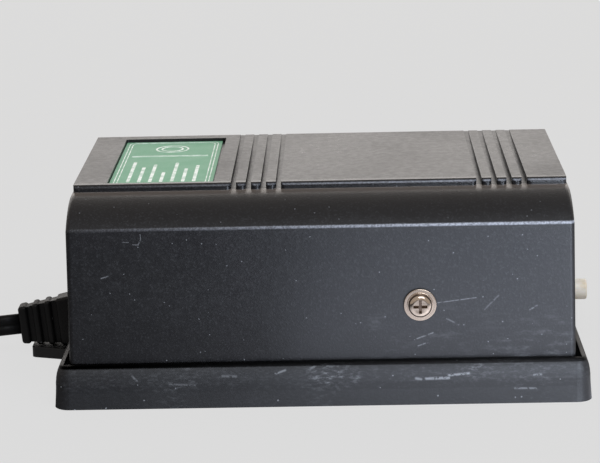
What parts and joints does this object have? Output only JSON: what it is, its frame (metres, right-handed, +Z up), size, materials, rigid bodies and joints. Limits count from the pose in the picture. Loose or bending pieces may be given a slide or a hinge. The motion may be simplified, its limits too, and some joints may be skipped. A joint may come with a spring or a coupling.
{
  "type": "battery charger",
  "caption": "Mains car battery charger: black plastic case with a raised grooved top and a label recess, on a rubber tray, with a reset button and a mains lead.",
  "frame": {"origin": "middle of the tray's underside, on the surface that the charger stands on", "axes": "+X along the case towards the end with the reset button, +Y to the back, away from the side screw, +Z up"},
  "size_m": [0.3423, 0.1403, 0.0642],
  "materials": {
    "case_plastic": "fine satin moulding",
    "tray_rubber": "satin rubber",
    "plate_steel": "zinc plated",
    "screw_steel": "nickel plated",
    "label_print": "satin print",
    "sink_aluminium": "plain",
    "core_steel": "varnished laminations",
    "bobbin_nylon": "natural nylon",
    "winding_copper": "varnished copper wire",
    "rectifier_epoxy": "moulded",
    "tag_brass": "tinned",
    "board_laminate": "glass laminate",
    "capacitor_sleeve": "shrink sleeve",
    "fuse_glass": "clear",
    "terminal_plastic": "moulded",
    "breaker_plastic": "moulded phenolic",
    "bimetal": "plain",
    "button_plastic": "cream",
    "gland_rubber": "satin",
    "lead_sheath": "flexible sheath",
    "wire_sleeve": "insulation"
  },
  "bodies": {
    "charger": {"bimetal_disc": "bimetal", "board_screws": "screw_steel", "board_spacers": "tag_brass", "bottom_plate": "plate_steel", "breaker_body": "breaker_plastic", "breaker_cap": "breaker_plastic", "breaker_terminals": "tag_brass", "bridge_rectifier": "rectifier_epoxy", "button_spring": "screw_steel", "case_cover": "case_plastic", "case_screws": "screw_steel", "circuit_board": "board_laminate", "fuse_caps": "tag_brass", "fuse_clips": "tag_brass", "fuse_glass": "fuse_glass", "heat_sink": "sink_aluminium", "label_plate": "label_print", "lead_coil": "lead_sheath", "lead_tie": "lead_sheath", "mains_lead": "lead_sheath", "mains_wires": "wire_sleeve", "outlet_gland": "gland_rubber", "plug": "lead_sheath", "plug_blades": "tag_brass", "plug_lead": "lead_sheath", "primary_winding": "winding_copper", "rectified_wires": "wire_sleeve", "rectifier_nut": "screw_steel", "rectifier_tags": "tag_brass", "ring_nut": "screw_steel", "rubber_tray": "tray_rubber", "secondary_winding": "winding_copper", "secondary_wires": "wire_sleeve", "side_screw": "screw_steel", "side_washer": "screw_steel", "smoothing_capacitor": "capacitor_sleeve", "strain_relief": "gland_rubber", "strap_rivets": "screw_steel", "terminal_block": "terminal_plastic", "transformer_bobbin": "bobbin_nylon", "transformer_core": "core_steel", "transformer_strap": "plate_steel"},
    "button": {"reset_button": "button_plastic"}
  },
  "joints": [
    {"name": "reset_press", "type": "slide", "parent": "charger", "child": "button", "axis": [1, 0, 0], "range_m": [-0.003, 0], "stiffness_N_per_m": 1000, "springref_m": 0.003, "deforming": ["button_spring"]}
  ]
}
